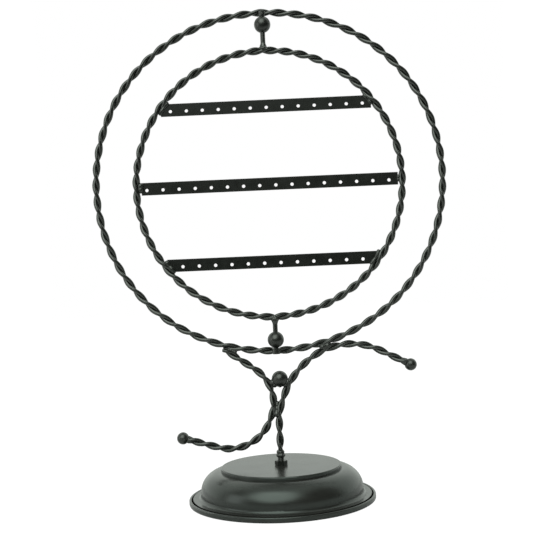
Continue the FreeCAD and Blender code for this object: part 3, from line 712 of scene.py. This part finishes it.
class RACK_OT_weld_stand(bpy.types.Operator):
    """Lay the weld beads of the large hoop, stem, branch, crotch ball, finial balls and sleeves"""
    bl_idname = "rack.weld_stand"
    bl_label = "Weld Stand"

    def execute(self, context):
        beads = {}
        low, high = touching_run(STEM, OUTER_HOOP, WELD_REACH, X_AXIS)
        start = low + (low - high).normalized() * 2.5 * MM
        end = low.lerp(high, 0.35)
        beads["stem_hoop"] = run_drops(start, end, count=5,
                                       first_radius=2.4 * MM, last_radius=2.1 * MM)
        low, high = touching_run(BRANCH, OUTER_HOOP, WELD_REACH, X_AXIS)
        start = low + Vector((-1.6, 0, 1.2)) * MM
        beads["branch_end"] = run_drops(start, high, count=6,
                                        first_radius=1.2 * MM, last_radius=1.6 * MM)
        low, high = touching_run(STEM, BRANCH, WELD_REACH, Z_AXIS)
        beads["fork"] = run_drops(low, high, count=7, first_radius=2.4 * MM, last_radius=1.9 * MM)
        beads["crotch"] = crotch_drops()
        beads["left_finial"] = finial_neck_drops("left_finial_ball", BRANCH, radius=3.0 * MM)
        beads["right_finial"] = finial_neck_drops("right_finial_ball", STEM, radius=2.9 * MM)
        beside = X_AXIS * 1.3 * MM
        for sleeve in ("top_pivot_sleeve", "bottom_pivot_sleeve"):
            low, high = touching_run((sleeve,), OUTER_HOOP, SLEEVE_REACH, X_AXIS)
            middle = (low + high) / 2
            beads[sleeve] = run_drops(middle - beside, middle + beside, count=3,
                                      first_radius=1.0 * MM, last_radius=1.0 * MM)
        beads["top_pivot_sleeve"] += front_ridge_drops("top_pivot_sleeve")
        enamel = weld_enamel()
        for name, drops in beads.items():
            weld_bead(f"{name}_weld", drops, enamel, "stand")
        return {"FINISHED"}


class RACK_OT_weld_collar(bpy.types.Operator):
    """Lay the weld collar between the stud and the stem"""
    bl_idname = "rack.weld_collar"
    bl_label = "Weld Collar"

    ring_share = 0.4
    neck_share = 0.85
    core_shares = (0.4, 0.7)

    def execute(self, context):
        low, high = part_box("stem_ferrule")
        axis_place = Vector(((low.x + high.x) / 2, (low.y + high.y) / 2, 0))
        height = high.z - low.z
        ring = axis_place + Z_AXIS * (low.z + height * self.ring_share)
        neck = axis_place + Z_AXIS * (low.z + height * self.neck_share)
        drops = ring_drops(ring, Z_AXIS, ring_radius=1.7 * MM, radius=1.8 * MM, count=9, wobble=0.08)
        drops += ring_drops(neck, Z_AXIS, ring_radius=1.5 * MM, radius=1.6 * MM, count=8, wobble=0.1)
        for share in self.core_shares:
            drops.append((axis_place + Z_AXIS * (low.z + height * share), 2.0 * MM))
        collar = weld_bead("stem_weld_collar", drops, weld_enamel(), "stand")
        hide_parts("stem_ferrule")
        return {"FINISHED"}


class RACK_OT_set_stage(bpy.types.Operator):
    """Set the floor, the light and the camera of the photograph"""
    bl_idname = "rack.set_stage"
    bl_label = "Set Stage"

    def execute(self, context):
        scene = context.scene
        scene.view_settings.view_transform = "Standard"
        make_floor(rack_settings().floor_colour)
        make_world(scene)
        make_lamp("window_softbox", place=(-1.05, -0.4, 0.35), target=(0.0, 0.0, 0.2),
                  width=0.5, height=0.7, radiance=1.3)
        make_camera(scene)
        return {"FINISHED"}


# Stage

def make_floor(colour):
    """A floor of pale grey paper under a white glow, so that it meets the background and still shows a
    faint shadow. Only the camera sees the full glow, and the enamel mirrors a little of it."""
    mirrored_share = 0.12
    glow_share = 0.82
    glow_strength = 1.17
    half_width = 1.5
    front_edge = 0.4
    material, tree, output = new_material("white_paper_floor")
    rays = add_node(tree, "ShaderNodeLightPath").outputs
    mirrored = maths(tree, "MULTIPLY", rays["Is Glossy Ray"], mirrored_share)
    seen = maths(tree, "MAXIMUM", rays["Is Camera Ray"], mirrored)
    seen = maths(tree, "MAXIMUM", seen, rays["Is Transmission Ray"])
    share = maths(tree, "MULTIPLY", seen, glow_share)
    paper = add_node(tree, "ShaderNodeBsdfDiffuse", {"Color": linear_colour(colour)})
    glow = add_node(tree, "ShaderNodeEmission",
                    {"Color": linear_colour(WHITE), "Strength": glow_strength})
    mixed = add_node(tree, "ShaderNodeMixShader",
                     {0: share, 1: paper.outputs["BSDF"], 2: glow.outputs["Emission"]})
    tree.links.new(mixed.outputs["Shader"], output.inputs["Surface"])
    shape = bmesh.new()
    bmesh.ops.create_grid(shape, x_segments=8, y_segments=8, size=half_width,
                          matrix=Matrix.Translation((0, half_width - front_edge, 0)))
    mesh = bpy.data.meshes.new("floor")
    shape.to_mesh(mesh)
    shape.free()
    mesh.materials.append(material)
    floor = bpy.data.objects.new("floor", mesh)
    bpy.context.scene.collection.objects.link(floor)


def make_world(scene):
    """A white room. The backdrop fades upwards between brighter sides, the left wall and the ceiling
    are pale, a soft key stands above the camera's left, and the rest of the front is dark. The camera
    sees plain white, and the light on the rack has a faint green cast."""
    dim = 0.05
    key_edge = cos(radians(38))
    key_core = cos(radians(16))
    key_way = Vector((-0.18, -0.7, 0.68)).normalized()
    world = bpy.data.worlds.new("white_room")
    scene.world = world
    world.use_nodes = True
    tree = world.node_tree
    tree.nodes.clear()
    way = add_node(tree, "ShaderNodeTexCoord").outputs["Generated"]
    parts = add_node(tree, "ShaderNodeSeparateXYZ", {"Vector": way}).outputs
    aside = maths(tree, "ABSOLUTE", parts["X"])
    back = spread(tree, parts["Y"], start=-0.15, end=0.3, low=dim, high=1.0, smooth=True)
    fade = spread(tree, parts["Z"], start=0.5, end=0.8, low=1.0, high=0.4, smooth=True)
    sides = spread(tree, aside, start=0.05, end=0.25, low=0.0, high=1.1, smooth=True)
    backdrop = maths(tree, "MULTIPLY", back, maths(tree, "MAXIMUM", fade, sides))
    left = spread(tree, parts["X"], start=-0.35, end=-0.95, low=dim, high=0.5, smooth=True)
    ceiling = spread(tree, parts["Z"], start=0.72, end=0.96, low=dim, high=0.8, smooth=True)
    room = maths(tree, "MAXIMUM", maths(tree, "MAXIMUM", backdrop, left), ceiling)
    facing = add_node(tree, "ShaderNodeVectorMath", {0: way, 1: key_way}, operation="DOT_PRODUCT")
    key = spread(tree, facing.outputs["Value"], start=key_edge, end=key_core, low=0.0, high=3.2,
                 smooth=True)
    camera_ray = add_node(tree, "ShaderNodeLightPath").outputs["Is Camera Ray"]
    bright = maths(tree, "MAXIMUM", maths(tree, "ADD", room, key), camera_ray)
    # Inputs 6 and 7 and output 2 are the colours of the mix
    cast = add_node(tree, "ShaderNodeMix",
                    {0: camera_ray, 6: linear_colour(LIGHT_CAST), 7: linear_colour(WHITE)},
                    data_type="RGBA")
    white = add_node(tree, "ShaderNodeBackground", {"Color": cast.outputs[2], "Strength": bright})
    output = add_node(tree, "ShaderNodeOutputWorld")
    tree.links.new(white.outputs["Background"], output.inputs["Surface"])


def make_lamp(name, place, target, width, height, radiance):
    """A soft box that faces a target and looks as bright as its radiance says."""
    lamp = bpy.data.lights.new(name, "AREA")
    lamp.shape = "RECTANGLE"
    lamp.size = width
    lamp.size_y = height
    lamp.energy = radiance * pi * width * height
    soft_box = bpy.data.objects.new(name, lamp)
    soft_box.location = place
    aim = Vector(target) - Vector(place)
    soft_box.rotation_euler = aim.to_track_quat("-Z", "Y").to_euler()
    bpy.context.scene.collection.objects.link(soft_box)


def make_camera(scene):
    """The camera that took the photograph, as worked out from the rack's balls, hoops and base."""
    settings = rack_settings()
    yaw, pitch, roll = settings.camera_yaw, settings.camera_pitch, settings.camera_roll
    right = Vector((cos(yaw), -sin(yaw), 0))
    forward = Vector((sin(yaw) * cos(pitch), cos(yaw) * cos(pitch), -sin(pitch)))
    up = right.cross(forward)
    across = right * cos(roll) + up * sin(roll)
    upward = up * cos(roll) - right * sin(roll)
    lens = bpy.data.cameras.new("photo_camera")
    lens.sensor_fit = "HORIZONTAL"
    lens.sensor_width = SENSOR_WIDTH
    lens.lens = settings.focal_pixels / PHOTO_PIXELS * SENSOR_WIDTH
    lens.clip_start = 0.01
    camera = bpy.data.objects.new("photo_camera", lens)
    turn = Matrix((across, upward, -forward)).transposed().to_4x4()
    camera.matrix_world = Matrix.Translation(Vector(settings.camera_place)) @ turn
    scene.collection.objects.link(camera)
    scene.camera = camera


OPERATORS = (RACK_OT_paint_wires, RACK_OT_paint_bars, RACK_OT_paint_balls, RACK_OT_paint_fittings,
             RACK_OT_paint_base, RACK_OT_thread_stud, RACK_OT_lay_felt, RACK_OT_weld_swivel_frame,
             RACK_OT_weld_stand, RACK_OT_weld_collar, RACK_OT_set_stage)


class RACK_PT_dress(bpy.types.Panel):
    """Lists the steps that dress the rack"""
    bl_idname = "RACK_PT_dress"
    bl_label = "Earring Rack"
    bl_space_type = "VIEW_3D"
    bl_region_type = "UI"
    bl_category = "Earring Rack"

    def draw(self, context):
        for name in RackSettings.__annotations__:
            self.layout.prop(rack_settings(), name)
        for step in OPERATORS:
            self.layout.operator(step.bl_idname)


CLASSES = (RackSettings, *OPERATORS, RACK_PT_dress)


def register():
    for kind in CLASSES:
        bpy.utils.register_class(kind)
    bpy.types.Scene.earring_rack = bpy.props.PointerProperty(type=RackSettings)


def unregister():
    del bpy.types.Scene.earring_rack
    for kind in reversed(CLASSES):
        bpy.utils.unregister_class(kind)


def main():
    register()
    for step in OPERATORS:
        group, action = step.bl_idname.split(".")
        getattr(getattr(bpy.ops, group), action)()


if __name__ == "__main__":
    main()
